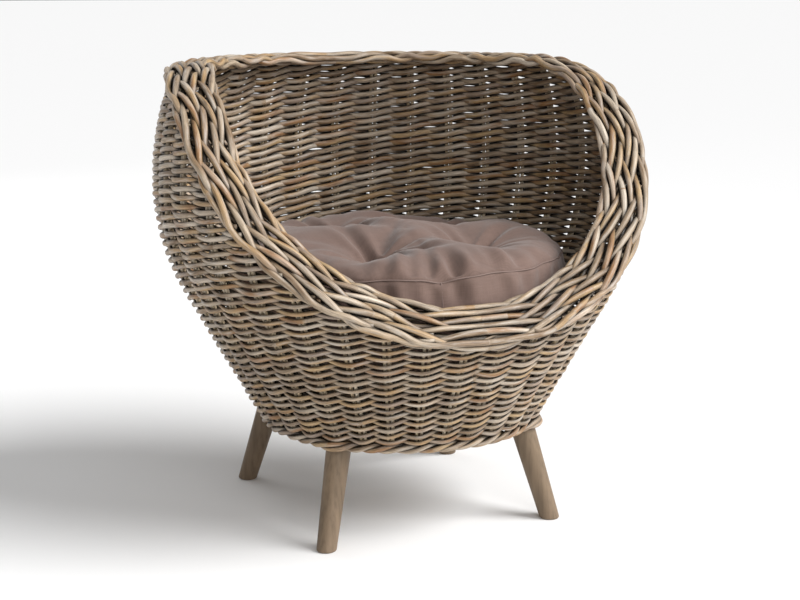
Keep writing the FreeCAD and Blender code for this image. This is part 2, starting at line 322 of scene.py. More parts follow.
# ---------------------------------------------------------------- strands into meshes

def show(piece):
    bpy.context.scene.collection.objects.link(piece)
    return piece


class Strands:
    """Many round strands in one mesh. Each keeps a tone, and its fibres' own coordinates."""

    def __init__(self):
        self.points = []
        self.faces = []
        self.tones = []
        self.fibres = []
        self.count = 0

    def add(self, line, facing, radius, tone, flat=1.0, sides=8, closed=False, start=0.0):
        """A strand along line. facing is the way its thickness lies, flat the share of it kept.
        start is where its fibres' own length is counted from."""
        line = np.asarray(line, float)
        n = len(line)
        if closed:
            along = unit(np.roll(line, -1, 0) - np.roll(line, 1, 0))
        else:
            along = unit(np.gradient(line, axis=0))
        facing = unit(facing - along * (facing * along).sum(-1, keepdims=True))
        beside = np.cross(along, facing)
        angle = even_turns(sides)
        radius = np.broadcast_to(np.asarray(radius, float), (n,))
        x = radius[:, None] * np.cos(angle)[None, :] * flat
        y = radius[:, None] * np.sin(angle)[None, :]
        ring = line[:, None, :] + x[..., None] * facing[:, None, :] + y[..., None] * beside[:, None, :]
        step = np.linalg.norm(np.diff(line, axis=0), axis=-1)
        length = start + np.concatenate([[0], np.cumsum(step)])
        fibre = np.stack([np.broadcast_to(length[:, None], x.shape), x, y], -1)
        index = self.count + np.arange(n * sides).reshape(n, sides)
        after = np.roll(index, -1, 0) if closed else index[1:]
        before = index if closed else index[:-1]
        quads = np.stack([before, np.roll(before, -1, 1), np.roll(after, -1, 1), after], -1)
        self.faces += quads.reshape(-1, 4).tolist()
        if not closed:
            self.faces.append(index[0][::-1].tolist())
            self.faces.append(index[-1].tolist())
        tone = np.broadcast_to(np.asarray(tone, float), (n,))
        self.points.append(ring.reshape(-1, 3))
        self.fibres.append(fibre.reshape(-1, 3))
        self.tones.append(np.repeat(tone, sides))
        self.count += n * sides

    def build(self, name, material):
        mesh = bpy.data.meshes.new(name)
        mesh.from_pydata(np.concatenate(self.points).tolist(), [], self.faces)
        tone = mesh.attributes.new("tone", "FLOAT", "POINT")
        tone.data.foreach_set("value", np.concatenate(self.tones).astype(np.float32))
        fibre = mesh.attributes.new("fibre", "FLOAT_VECTOR", "POINT")
        fibre.data.foreach_set("vector", np.concatenate(self.fibres).astype(np.float32).ravel())
        mesh.polygons.foreach_set("use_smooth", [True] * len(mesh.polygons))
        mesh.update()
        mesh.materials.append(material)
        return show(bpy.data.objects.new(name, mesh))


def stretches(keep):
    """Start and end of each run of True in a ring of flags. An end may pass the ring's length."""
    n = len(keep)
    if keep.all():
        return [(0, n)]
    runs = []
    first = int(np.argmin(keep))
    k = 0
    while k < n:
        if keep[(first + k) % n]:
            start = k
            while k < n and keep[(first + k) % n]:
                k += 1
            runs.append((first + start, first + k))
        else:
            k += 1
    return runs


def joined_tones(count, seed, pieces):
    """A strand's tone along its course: it changes where one length of rattan follows another."""
    local = np.random.default_rng(seed)
    cuts = np.sort(local.integers(0, count, pieces))
    tones = local.random(pieces + 1)
    return tones[np.searchsorted(cuts, np.arange(count), side="right")]


# ---------------------------------------------------------------- wall

def row_lift(phase, turn):
    """How far a strand lies above its row's middle. It hangs where it passes outside, rises to go in."""
    rise = weft_rise - weft_rise_less * np.cos(turn)
    return -weft_hang * np.cos(phase) + rise * np.sin(phase) - weft_dip * np.cos(2 * phase)


def weft_line(row, partner):
    """One strand of a row, all the way round: its turns, points, facing directions and seed."""
    count = stake_pairs * weft_steps
    turn = np.arange(count) * 2 * math.pi / count
    phase = math.pi * (turn / pair_turn - 0.5) + math.pi * partner
    seed = 1000 + row * 2 + partner
    wander = 0.0006 * smooth_noise(count, 30, seed, True)
    drift = 0.0011 * np.sin(3 * turn + 0.25 * row) + 0.0007 * np.sin(7 * turn - 0.4 * row)
    up = first_row + row * row_pitch + row_lift(phase, turn) + wander + drift
    out = weft_sway * np.cos(phase) + 0.0004 * smooth_noise(count, 40, seed + 5000, True)
    points, normals = on_wall(turn, up, out)
    return turn, clear_of_legs(points, weft_radius + strand_gap), normals, seed


def add_row(strands, row):
    """The two strands of a row, left out across the opening."""
    for partner in (0, 1):
        turn, points, normals, seed = weft_line(row, partner)
        count = len(points)
        keep = below_rim(points, rim_clearance)
        local = np.random.default_rng(seed)
        backward = weft_thicker - weft_backward * np.cos(turn)
        uneven = 0.06 * local.normal() + 0.05 * smooth_noise(count, 20, seed + 9000, True)
        radius = weft_radius * (1 + backward + uneven)
        tones = joined_tones(count, seed + 300, 3)
        for start, end in stretches(keep):
            if end - start < shortest_run:
                continue
            pick = np.arange(start, end) % count
            whole = end - start == count
            strands.add(points[pick], normals[pick], radius[pick], tones[pick], weft_flat,
                        closed=whole, start=local.random())


def make_wall(material):
    """Rows of paired strands, in bands up the wall."""
    rows = int((wall_length() - first_row) / row_pitch) + 1
    pieces = []
    for band in range(weave_bands):
        strands = Strands()
        for row in range(rows * band // weave_bands, rows * (band + 1) // weave_bands):
            add_row(strands, row)
        pieces.append(strands.build("weave_band_%d" % (band + 1), material))
    return pieces


def make_stakes(material):
    """The pairs of upright stakes, from the wall's bottom up to the plait."""
    strands = Strands()
    length = wall_length()
    count = 90
    up = np.linspace(0.0, length + 0.02, count)
    for pair in range(stake_pairs):
        for side in (-0.5, 0.5):
            seed = 7000 + pair * 2 + int(side > 0)
            local = np.random.default_rng(seed)
            radius = meridian(up)[0]
            shift = side * stake_pair_spacing + 0.0005 * smooth_noise(count, 8, seed)
            turn = (pair + 0.5) * pair_turn + shift / radius
            out = 0.0002 * smooth_noise(count, 12, seed + 100)
            points, normals = on_wall(turn, up, out)
            points = clear_of_legs(points, stake_diameter / 2 + strand_gap)
            keep = below_rim(points, rim_clearance)
            last = count if keep.all() else int(np.argmin(keep))
            backward = stake_backward * math.cos((pair + 0.5) * pair_turn)
            size = (stake_wider - backward) * stake_diameter / 2 * (1 + 0.04 * local.normal())
            tones = np.full(last, local.random())
            strands.add(points[:last], normals[:last], size, tones, sides=8, start=local.random())
    return strands.build("stake_pairs", material)


# ---------------------------------------------------------------- plaited rim

def crossing_height(place, even, going_out):
    """Height, -1 to 1, of a strand that is place spaces along its way across the plait's 6."""
    centre = 1.25 if even == going_out else 0.75
    sign = -1.0 if going_out else 1.0
    return sign * np.cos(math.pi * (place - centre))


def plait_advance(middle):
    """How far the plait has gone at each place round the rim. It is mirrored left and right."""
    step = np.linalg.norm(np.roll(middle, -1, 0) - middle, axis=-1)
    along = np.concatenate([[0], np.cumsum(step)[:-1]])
    whole = step.sum()
    from_front = np.where(along > whole / 2, along - whole, along)
    from_back = whole / 2 - np.abs(from_front)
    pace = np.tanh(from_front / braid_merge) * np.tanh(from_back / braid_merge)
    return np.concatenate([[0], np.cumsum(pace * step)[:-1]])


def make_rim(material):
    """The plait: each strand goes from edge to edge and back, over and under the others."""
    count = 2880
    thinned = slice(None, None, 3)
    middle, width, thick = rim_course(count)
    strands = Strands()
    advance = plait_advance(middle)
    half = braid_strands / 2
    for index in range(braid_strands):
        seed = 300 + index
        local = np.random.default_rng(seed)
        wander = 0.10 * smooth_noise(count, 9, seed + 11, True)
        phase = (advance / braid_pitch * braid_strands - index + braid_start + wander) % braid_strands
        going_out = phase < half
        place = np.where(going_out, phase, braid_strands - phase)
        bend = np.arcsin(braid_bend * np.sin(math.pi * (place / half - 0.5))) / math.asin(braid_bend)
        even = index % 2 == 0
        wave = np.where(going_out, crossing_height(place, even, True), crossing_height(place, even, False))
        ease = np.clip(np.minimum(place, half - place) / 0.55, 0, 1)
        lift = braid_swell * wave * ease * ease * (3 - 2 * ease)
        lift = lift + 0.0003 * smooth_noise(count, 20, seed, True) - braid_curl * np.clip(bend, 0, 1) ** 2
        across = braid_reach * bend + 0.0006 * smooth_noise(count, 14, seed + 50, True)
        line = middle + width * across[:, None] + thick * lift[:, None]
        uneven = 0.05 * local.normal() + 0.035 * smooth_noise(count, 16, seed + 90, True)
        radius = braid_radius * (1 + uneven)
        tones = joined_tones(count, seed + 700, 6)
        strands.add(line[thinned], thick[thinned], radius[thinned], tones[thinned], 0.95,
                    closed=True, start=local.random())
    return strands.build("rim_plait", material)


# ---------------------------------------------------------------- foot

def make_foot_border(material):
    """A rope of strands twisted round the wall's bottom edge, pushed out or in past each leg."""
    low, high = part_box("foot_border")
    height = (low.z + high.z) / 2
    ring = (high.x - low.x) / 2 - (high.z - low.z) / 2
    count = 1440
    turn = even_turns(count)
    out = np.stack([np.sin(turn), -np.cos(turn), np.zeros(count)], -1)
    core = np.array([0, axis_y, height]) + out * ring
    core = clear_of_legs(core, rope_radius + rope_swing - 0.001)
    core[:, 2] = height
    twists = round(2 * math.pi * ring / rope_pitch)
    strands = Strands()
    for index in range(rope_strands):
        seed = 8100 + index
        wander = 0.25 * smooth_noise(count, 20, seed, True)
        angle = turn * twists + 2 * math.pi * index / rope_strands + wander
        line = core + rope_swing * (out * np.cos(angle)[:, None] + UP * np.sin(angle)[:, None])
        radius = rope_radius * (1 + 0.08 * smooth_noise(count, 40, seed + 20, True))
        tones = joined_tones(count, seed + 40, 7)
        strands.add(line[::2], out[::2], radius[::2], tones[::2], closed=True, start=0.3 * index)
    return strands.build("foot_border_twist", material)


def make_base_mat(material):
    """The round woven bottom: pairs of strands round and round over the base's own spokes."""
    low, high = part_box("woven_base")
    height = (low.z + high.z) / 2
    reach = (high.x - low.x) / 2
    sway = (high.z - low.z) / 2 - base_weft_radius
    strands = Strands()
    for ring in range(int((reach - base_first_ring) / base_ring_pitch)):
        radius = base_first_ring + base_ring_pitch * ring
        crossings, offset = (base_spokes, 0.5) if radius > base_split else (base_spokes // 2, 0.25)
        turn = even_turns(crossings * 6)
        for partner in (0, 1):
            seed = 9000 + ring * 2 + partner
            phase = math.pi * (turn * crossings / (2 * math.pi) - offset + partner)
            wander = 0.0004 * smooth_noise(len(turn), 12, seed, True)
            distance = radius + 0.0017 * np.sin(phase) + wander
            line = round_axis(turn, distance, height + sway * np.cos(phase))
            line = clear_of_legs(line, base_weft_radius)
            tones = joined_tones(len(turn), seed + 60, 3)
            strands.add(line, UP, base_weft_radius, tones, 0.9, 7, True, 0.1 * ring)
    count = 24
    for spoke in range(base_spokes):
        turn = (spoke + 0.5) * 2 * math.pi / base_spokes
        start = 0.006 if spoke % 2 == 0 else base_split
        distance = np.linspace(start, reach - 0.001, count)
        wobble = 0.0005 * smooth_noise(count, 4, 9500 + spoke)
        line = np.stack([distance * math.sin(turn) + wobble * math.cos(turn),
                         axis_y - distance * math.cos(turn) + wobble * math.sin(turn),
                         np.full(count, height)], -1)
        line = clear_of_legs(line, stake_diameter / 2)
        strands.add(line, UP, stake_diameter / 2, (spoke * 0.37) % 1, 0.9, 7)
    return strands.build("base_mat", material)


# ---------------------------------------------------------------- cushion

def tuft_places():
    """Where the tufts are from above: one in each quarter."""
    places = []
    for index in range(tuft_count):
        turn = 2 * math.pi * (index + 0.5) / tuft_count + tuft_skew[index]
        places.append((tuft_radius * math.sin(turn), axis_y - tuft_radius * math.cos(turn)))
    return places


def seam_line(turn):
    """The stitched seam between the top and the side band: radius and height at each turn."""
    ripple = 0.0010 * np.sin(17 * turn + 1.0) + 0.0008 * np.sin(29 * turn)
    pull = np.exp(-((turn - pull_turn) / 0.07) ** 2)
    radius = seam_radius + ripple - 0.006 * pull
    height = seam_height + 0.0025 * np.sin(2 * turn + 0.6) + 0.0012 * np.sin(11 * turn) - 0.004 * pull
    return radius, height


def cushion_start():
    """The pad before it swells: flat bottom, upright side, low crown with pits where it is tufted."""
    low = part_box("cushion_bottom_panel")[0].z
    segments = 160
    turn = np.linspace(-math.pi, math.pi, segments, endpoint=False)
    seam_r, seam_z = seam_line(turn)
    rings = []
    for share in np.linspace(0.03, 1, 24):
        rings.append((share * (seam_r - bottom_inset), np.full(segments, low)))
    for share in np.linspace(0.1, 1, 12):
        bulge = 0.004 * math.sin(math.pi * share)
        rings.append((seam_r - bottom_inset * (1 - share) + bulge, low + share * (seam_z - low)))
    for share in np.linspace(0.97, 0.03, 28):
        rise = crown_rise * (1 - share ** 4) ** 0.6
        rings.append((seam_r * share, seam_z + rise))
    points = np.concatenate([round_axis(turn, radius, height) for radius, height in rings])
    top = points[:, 2] > seam_height + 0.004
    for x, y in tuft_places():
        gap = np.hypot(points[:, 0] - x, points[:, 1] - y)
        points[:, 2] -= np.where(top, tuft_pit * np.exp(-(gap / 0.027) ** 1.15), 0)
    faces = []
    for ring in range(len(rings) - 1):
        for k in range(segments):
            here = ring * segments + k
            beside = ring * segments + (k + 1) % segments
            faces.append((here, here + segments, beside + segments, beside))
    faces.append(tuple(range(segments)))
    faces.append(tuple((len(rings) - 1) * segments + k for k in reversed(range(segments))))
    mesh = bpy.data.meshes.new("cushion_start")
    mesh.from_pydata(points.tolist(), [], faces)
    return bpy.data.objects.new("cushion_start", mesh)


def evaluated_points(piece):
    """The places of a piece's vertices with its modifiers on."""
    held = piece.evaluated_get(bpy.context.evaluated_depsgraph_get())
    points = mesh_points(held.to_mesh())
    held.to_mesh_clear()
    return points


def applied(piece, name):
    """A new object holding the piece's mesh with its modifiers applied."""
    held = piece.evaluated_get(bpy.context.evaluated_depsgraph_get())
    mesh = bpy.data.meshes.new_from_object(held)
    return show(bpy.data.objects.new(name, mesh))


def mesh_points(mesh):
    points = np.empty(len(mesh.vertices) * 3)
    mesh.vertices.foreach_get("co", points)
    return points.reshape(-1, 3)


def set_points(mesh, points):
    mesh.vertices.foreach_set("co", points.astype(np.float32).ravel())
    mesh.update()


def smoothed(mesh, points, rounds, hold):
    """Points eased towards their neighbours' middle, except where hold is 1."""
    edges = np.empty(len(mesh.edges) * 2, int)
    mesh.edges.foreach_get("vertices", edges)
    edges = edges.reshape(-1, 2)
    degree = np.bincount(edges.ravel(), minlength=len(points))[:, None]
    for _ in range(rounds):
        total = np.zeros_like(points)
        np.add.at(total, edges[:, 0], points[edges[:, 1]])
        np.add.at(total, edges[:, 1], points[edges[:, 0]])
        points = points + (total / degree - points) * 0.5 * (1 - hold[:, None])
    return points


def swell(pad, pins, limit):
    """Inflates the pad as loose cloth round its pinned points, no point moving further than its limit."""
    group = pad.vertex_groups.new(name="held")
    for index in np.flatnonzero(pins):
        group.add([int(index)], 1.0, "REPLACE")
    cloth = pad.modifiers.new("cloth", "CLOTH")
    settings = cloth.settings
    settings.quality = 5
    settings.mass = 0.3
    settings.tension_stiffness = 20
    settings.compression_stiffness = 20
    settings.shear_stiffness = 8
    settings.bending_stiffness = 0.25
    settings.use_pressure = True
    settings.uniform_pressure_force = 4
    settings.shrink_min = cloth_slack
    settings.vertex_group_mass = "held"
    settings.effector_weights.gravity = 0
    cloth.collision_settings.use_collision = False
    before = mesh_points(pad.data)
    for number in range(1, swell_frames + 1):
        bpy.context.scene.frame_set(number)
    moved = evaluated_points(pad) - before
    pad.modifiers.clear()
    pad.vertex_groups.clear()
    bpy.context.scene.frame_set(1)
    size = np.linalg.norm(moved, axis=-1)
    moved = moved * np.minimum(1, limit / np.maximum(size, 1e-9))[:, None]
    return before + moved


def around(points):
    """Each point's turn round the bowl's axis, and its distance from the axis."""
    turn = np.arctan2(points[:, 0], axis_y - points[:, 1])
    reach = np.hypot(points[:, 0], points[:, 1] - axis_y)
    return turn, reach


def tuft_gap(points):
    """Distance across the top from each point to the nearest tuft."""
    gaps = [np.hypot(points[:, 0] - x, points[:, 1] - y) for x, y in tuft_places()]
    return np.min(gaps, axis=0)


def folded(points, top):
    """Sinks the folds that run out from the tufts. top is 1 on the top panel, 0 elsewhere."""
    points = points.copy()
    places = tuft_places()
    for tuft, way, length, depth, half_width in folds:
        x, y = places[tuft]
        across_x = points[:, 0] - x
        across_y = points[:, 1] - y
        way = math.radians(way)
        along = across_x * math.cos(way) + across_y * math.sin(way)
        bend = 0.006 * np.sin(along / length * 2.2 + tuft + way)
        beside = -across_x * math.sin(way) + across_y * math.cos(way) - bend
        share = np.clip(along / length, 0, 1)
        width = half_width * (0.35 + 0.9 * share)
        fade = np.where(along > 0, np.clip(along / 0.006, 0, 1) * (1 - share) ** 0.8, 0)
        ridges = np.exp(-((np.abs(beside) - 1.9 * width) / width) ** 2)
        dip = np.exp(-(beside / width) ** 2) - 0.45 * ridges
        points[:, 2] -= top * depth * fade * dip
    return points


def pleated(points, top):
    """Raises the small pleats that the seam gathers, above it and below it."""
    points = points.copy()
    turn, reach = around(points)
    seam_r, seam_z = seam_line(turn)
    pleat = np.sin(23 * turn + 1.5 * np.sin(5 * turn))
    pleat = pleat + 0.7 * np.sin(41 * turn + 2.0 * np.sin(3 * turn + 1))
    strength = 0.6 + 0.4 * np.sin(4 * turn + 0.7) + 1.6 * np.exp(-((turn - pull_turn) / 0.35) ** 2)
    inward = np.clip(seam_r - reach, 0, None)
    hump = (inward / 0.010) * np.exp(1 - inward / 0.010)
    points[:, 2] += top * 0.0024 * pleat * strength * hump * (reach < seam_r + 0.004)
    under = np.clip(seam_z - points[:, 2], 0, None)
    hump = (under / 0.010) * np.exp(1 - under / 0.010) * (reach > seam_r - 0.020)
    puff = 0.0013 * pleat * strength * hump
    points[:, 0] += puff * np.sin(turn)
    points[:, 1] -= puff * np.cos(turn)
    return points


def cushion_pad():
    """The cushion's starting shape in an even mesh, fit for the cloth simulation."""
    start = show(cushion_start())
    remesh = start.modifiers.new("remesh", "REMESH")
    remesh.mode = "VOXEL"
    remesh.voxel_size = voxel
    pad = applied(start, "cushion_pad")
    bpy.data.objects.remove(start)
    return pad


def swell_between_pins(pad):
    """Swells the pad between its seam, its tufts and its flat bottom, which stay where they are."""
    points = mesh_points(pad.data)
    low = points[:, 2].min()
    turn, reach = around(points)
    seam_r, seam_z = seam_line(turn)
    on_seam = (np.abs(points[:, 2] - seam_z) < 0.0026) & (reach > seam_r - 0.006)
    points[on_seam, 0] = (seam_r * np.sin(turn))[on_seam]
    points[on_seam, 1] = (axis_y - seam_r * np.cos(turn))[on_seam]
    points[on_seam, 2] = seam_z[on_seam]
    at_tuft = (tuft_gap(points) < 0.006) & (points[:, 2] > seam_height - 0.02)
    pins = on_seam | at_tuft | (points[:, 2] < low + 0.002)
    set_points(pad.data, points)
    near_tuft = np.minimum(swell_limit, tuft_limit * tuft_gap(points))
    limit = np.where(points[:, 2] > seam_height, near_tuft, swell_limit)
    points = swell(pad, pins, limit)
    points = smoothed(pad.data, points, 2, pins.astype(float))
    points[:, 2] = np.maximum(points[:, 2], low)
    set_points(pad.data, points)


def lay_cloth(mesh, points):
    """Stores where each point lies on the flat cloth: unrolled on the side, from above elsewhere."""
    turn = around(points)[0]
    side = points[:, 2] < seam_line(turn)[1]
    flat = np.where(side[:, None], np.stack([turn * seam_radius, points[:, 2]], -1), points[:, :2])
    flat = np.concatenate([flat, 0 * flat[:, :1]], -1)
    weave = mesh.attributes.new("cloth_place", "FLOAT_VECTOR", "POINT")
    weave.data.foreach_set("vector", flat.astype(np.float32).ravel())


def make_cushion(material):
    """The cover: swollen as cloth, then folded and pleated, and drawn in along the seam."""
    pad = cushion_pad()
    swell_between_pins(pad)
    finer = pad.modifiers.new("finer", "SUBSURF")
    finer.levels = 1
    finer.render_levels = 1
    cover = applied(pad, "cushion_cover")
    bpy.data.objects.remove(pad)
    points = mesh_points(cover.data)
    turn, reach = around(points)
    seam_r, seam_z = seam_line(turn)
    top = np.clip((points[:, 2] - seam_z - 0.002) / 0.004, 0, 1)
    points = pleated(folded(points, top), top)
    near = np.exp(-((points[:, 2] - seam_z) / 0.0022) ** 2) * (reach > seam_r - 0.02)
    points[:, 0] -= seam_draw * near * np.sin(turn)
    points[:, 1] += seam_draw * near * np.cos(turn)
    set_points(cover.data, points)
    lay_cloth(cover.data, points)
    cover.data.polygons.foreach_set("use_smooth", [True] * len(cover.data.polygons))
    cover.data.materials.clear()
    cover.data.materials.append(material)
    return cover


def make_seam(material, cover):
    """The edge of cloth that stands up along the round seam, and the side band's upright join."""
    turn = np.linspace(-math.pi, math.pi, 540, endpoint=False)
    radius, height = seam_line(turn)
    out = np.stack([np.sin(turn), -np.cos(turn), 0 * turn], -1)
    line = round_axis(turn, radius, height) - 0.0008 * out
    strands = Strands()
    strands.add(line, out, 0.0009, 0.5, 1.0, 6, True)
    points = mesh_points(cover.data)
    place, reach = around(points)
    top = seam_line(np.array([pull_turn]))[1][0]
    heights = np.linspace(points[:, 2].min() + 0.006, top, 24)
    join = []
    for level in heights:
        near = (np.abs(place - pull_turn) < 0.02) & (np.abs(points[:, 2] - level) < 0.004) & (reach > 0.15)
        join.append(reach[near].mean() - 0.0002)
    join = np.array(join)
    line = round_axis(pull_turn, join, heights)
    out = np.array([math.sin(pull_turn), -math.cos(pull_turn), 0.0])
    strands.add(line, out, thread_radius, 0.5, 1.0, 6)
    return strands.build("cushion_seam", material)


def make_stitches(material, cover):
    """Crossed threads in the bottom of each tuft."""
    points = mesh_points(cover.data)
    strands = Strands()
    half = 0.0045
    for number, (x, y) in enumerate(tuft_places()):
        near = np.hypot(points[:, 0] - x, points[:, 1] - y) < 0.005
        bottom = points[near, 2].max()
        for slant in (0.4, 2.0):
            along = np.linspace(-half, half, 9)
            arch = 0.0012 * (1 - (along / half) ** 2) - 0.0006
            line = np.stack([x + along * math.cos(slant + number), y + along * math.sin(slant + number),
                             bottom + arch], -1)
            strands.add(line, UP, thread_radius, 0.3, 1.0, 6)
    return strands.build("tuft_stitches", material)


# ---------------------------------------------------------------- materials

class Nodes:
    """Short hand for a material's node tree."""

    def __init__(self, name):
        self.material = bpy.data.materials.new(name)
        self.material.use_nodes = True
        self.tree = self.material.node_tree
        self.shader = self.tree.nodes["Principled BSDF"]

    def new(self, kind, **settings):
        node = self.tree.nodes.new(kind)
        for key, value in settings.items():
            setattr(node, key, value)
        return node

    def link(self, source, target):
        self.tree.links.new(source, target)

    def attribute(self, name):
        return self.new("ShaderNodeAttribute", attribute_name=name)

    def noise(self, vector, scale, detail=3.0, rough=0.55):
        node = self.new("ShaderNodeTexNoise")
        node.inputs["Scale"].default_value = scale
        node.inputs["Detail"].default_value = detail
        node.inputs["Roughness"].default_value = rough
        self.link(vector, node.inputs["Vector"])
        return node

    def mapping(self, vector, scale):
        node = self.new("ShaderNodeVectorMath", operation="MULTIPLY")
        self.link(vector, node.inputs[0])
        node.inputs[1].default_value = scale
        return node.outputs[0]

    def plus(self, first, second):
        node = self.new("ShaderNodeVectorMath", operation="ADD")
        self.link(first, node.inputs[0])
        self.link(second, node.inputs[1])
        return node.outputs[0]

    def maths(self, operation, first, second=None, clamp=False):
        node = self.new("ShaderNodeMath", operation=operation, use_clamp=clamp)
        for value, target in ((first, node.inputs[0]), (second, node.inputs[1])):
            if value is None:
                continue
            if isinstance(value, (int, float)):
                target.default_value = value
            else:
                self.link(value, target)
        return node.outputs[0]

    def ramp(self, value, stops):
        node = self.new("ShaderNodeValToRGB")
        ramp = node.color_ramp
        while len(ramp.elements) < len(stops):
            ramp.elements.new(0.5)
        for element, (place, colour) in zip(ramp.elements, stops):
            element.position = place
            if isinstance(colour, (int, float)):
                colour = (colour, colour, colour)
            element.color = (*colour, 1.0)
        self.link(value, node.inputs["Fac"])
        return node.outputs["Color"]

    def blend(self, share, first, second, mode="MIX"):
        node = self.new("ShaderNodeMix", data_type="RGBA", blend_type=mode)
        for value, target in ((share, node.inputs[0]), (first, node.inputs[6]), (second, node.inputs[7])):
            if isinstance(value, (int, float)):
                target.default_value = value
            elif isinstance(value, tuple):
                target.default_value = (*value, 1.0)
            else:
                self.link(value, target)
        return node.outputs[2]

    def tint(self, colour, value, stops):
        """The colour made darker or lighter by a ramp of this value."""
        return self.blend(1.0, colour, self.ramp(value, stops), "MULTIPLY")

    def bump(self, height, strength, distance):
        node = self.new("ShaderNodeBump")
        node.inputs["Strength"].default_value = strength
        node.inputs["Distance"].default_value = distance
        self.link(height, node.inputs["Height"])
        self.link(node.outputs["Normal"], self.shader.inputs["Normal"])


KUBU = [
    (0.00, (0.245, 0.172, 0.112)),
    (0.13, (0.400, 0.315, 0.225)),
    (0.26, (0.200, 0.125, 0.066)),
    (0.40, (0.465, 0.385, 0.295)),
    (0.52, (0.360, 0.230, 0.112)),
    (0.64, (0.285, 0.215, 0.165)),
    (0.76, (0.420, 0.290, 0.152)),
    (0.87, (0.265, 0.138, 0.060)),
    (1.00, (0.530, 0.445, 0.350)),
]
WOOD = [
    (0.30, (0.150, 0.105, 0.066)),
    (0.52, (0.188, 0.133, 0.084)),
    (0.75, (0.218, 0.154, 0.100)),
]
CHALK = (0.50, 0.455, 0.40)
GRIME = (0.085, 0.060, 0.045)
# Stakes: paler cane, lightened further as a painted highlight where they show between the rows.
STAKE_CANE_AND_HIGHLIGHT = [
    (0.00, (0.560, 0.450, 0.300)),
    (0.50, (0.480, 0.360, 0.220)),
    (1.00, (0.640, 0.540, 0.400)),
]


def rattan(name, palette, roughness, fibre_bump, painted_crevice_shade):
    """Weathered grey rattan: a tone for each length, drifting along it, with fine fibres, chalky and
    grimy blotches, and painted shade: crevices darkened by ambient occlusion, down to the crevice share
    given."""
    n = Nodes(name)
    tone = n.attribute("tone").outputs["Fac"]
    fibre = n.attribute("fibre").outputs["Vector"]
    spread = n.new("ShaderNodeCombineXYZ")
    n.link(n.maths("MULTIPLY", tone, 37.0), spread.inputs["Z"])
    own = n.plus(fibre, spread.outputs[0])
    slow = n.noise(n.mapping(own, (9.0, 60.0, 60.0)), 1.0, 2.0).outputs["Fac"]
    drift = n.maths("MULTIPLY_ADD", slow, 0.9)
    drift.node.inputs[2].default_value = -0.45
    place = n.maths("ADD", tone, drift, clamp=True)
    colour = n.ramp(place, palette)
    streak = n.noise(n.mapping(own, (70.0, 1800.0, 1800.0)), 1.0, 4.0, 0.6).outputs["Fac"]
    colour = n.tint(colour, streak, [(0.32, 0.50), (0.50, 1.0), (0.68, 1.35)])
    blotch = n.noise(n.mapping(own, (35.0, 220.0, 220.0)), 1.0, 3.0, 0.6).outputs["Fac"]
    chalk = n.ramp(blotch, [(0.52, 0.0), (0.70, 0.60)])
    colour = n.blend(chalk, colour, CHALK)
    grime = n.ramp(blotch, [(0.24, 0.75), (0.40, 0.0)])
    colour = n.blend(grime, colour, GRIME)
    # Painted shade: ambient occlusion darkens the colour in crevices and in the gaps between strands,
    # where shade falls.
    painted_shade_ao = n.new("ShaderNodeAmbientOcclusion", samples=4, only_local=False)
    painted_shade_ao.inputs["Distance"].default_value = 0.016
    painted_shade_stops = [(0.28, painted_crevice_shade), (0.60, 0.42 + 0.6 * painted_crevice_shade), (0.90, 1.05)]
    colour = n.tint(colour, painted_shade_ao.outputs["AO"], painted_shade_stops)
    n.link(colour, n.shader.inputs["Base Color"])
    rough = n.ramp(streak, [(0.25, roughness + 0.14), (0.75, roughness - 0.08)])
    n.link(rough, n.shader.inputs["Roughness"])
    n.shader.inputs["Specular IOR Level"].default_value = 0.45
    n.bump(streak, fibre_bump, 0.0006)
    return n.material


def leg_wood():
    """Turned hardwood under a grey-brown stain, the grain running up the leg."""
    n = Nodes("leg_wood_look")
    place = n.new("ShaderNodeTexCoord").outputs["Object"]
    warp = n.noise(place, 6.0, 2.0).outputs["Color"]
    bent = n.plus(place, n.mapping(warp, (0.01, 0.01, 0.05)))
    grain = n.noise(n.mapping(bent, (260.0, 260.0, 9.0)), 1.0, 5.0, 0.6).outputs["Fac"]
    broad = n.noise(n.mapping(bent, (45.0, 45.0, 4.0)), 1.0, 2.0).outputs["Fac"]
    colour = n.ramp(broad, WOOD)
    colour = n.tint(colour, grain, [(0.30, 0.72), (0.50, 1.0), (0.70, 1.12)])
    n.link(colour, n.shader.inputs["Base Color"])
    n.link(n.ramp(grain, [(0.3, 0.62), (0.7, 0.48)]), n.shader.inputs["Roughness"])
    n.shader.inputs["Specular IOR Level"].default_value = 0.4
    n.bump(grain, 0.25, 0.0004)
    return n.material


